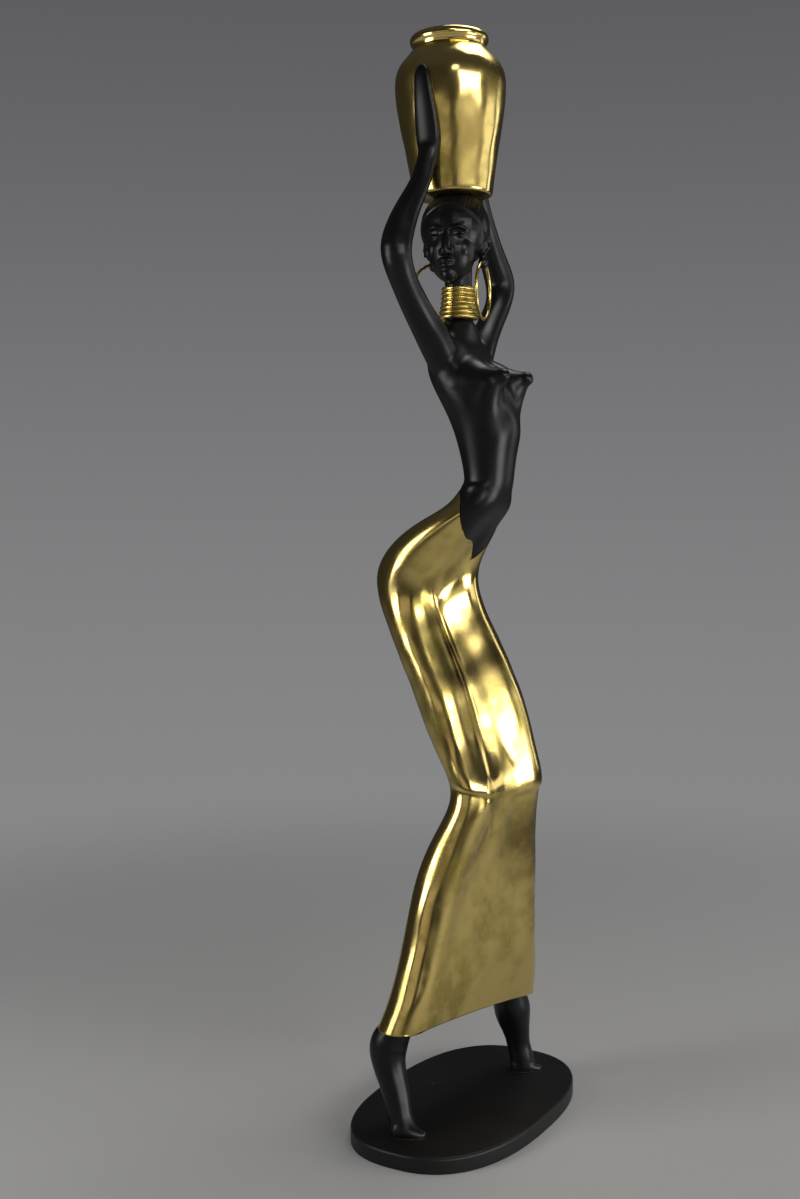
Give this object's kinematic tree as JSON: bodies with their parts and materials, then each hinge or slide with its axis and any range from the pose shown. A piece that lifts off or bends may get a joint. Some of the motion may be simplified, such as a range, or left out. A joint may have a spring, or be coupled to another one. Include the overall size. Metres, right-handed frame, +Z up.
{
  "type": "standing figure sculpture",
  "caption": "Slender standing woman in brass and black paint who steadies a tall open jar on her head with both hands, on a flat oval foot plate.",
  "frame": {"origin": "middle of the foot plate's flat underside", "axes": "+Z up, the figure faces -Y, her left hand is at +X"},
  "size_m": [0.3654, 0.2186, 1.3099],
  "materials": {
    "polished_brass": "polished, with brown tarnish in the hollows",
    "black_paint": "satin gloss black paint",
    "plate_paint": "satin black paint, lightly worn"
  },
  "bodies": {
    "root": {"base": "plate_paint", "leg_right": "black_paint", "leg_left": "black_paint", "skirt": "polished_brass", "upper_body": "black_paint", "neck_rings": "polished_brass", "earring_right": "polished_brass", "earring_left": "polished_brass", "jar": "polished_brass"}
  },
  "joints": []
}
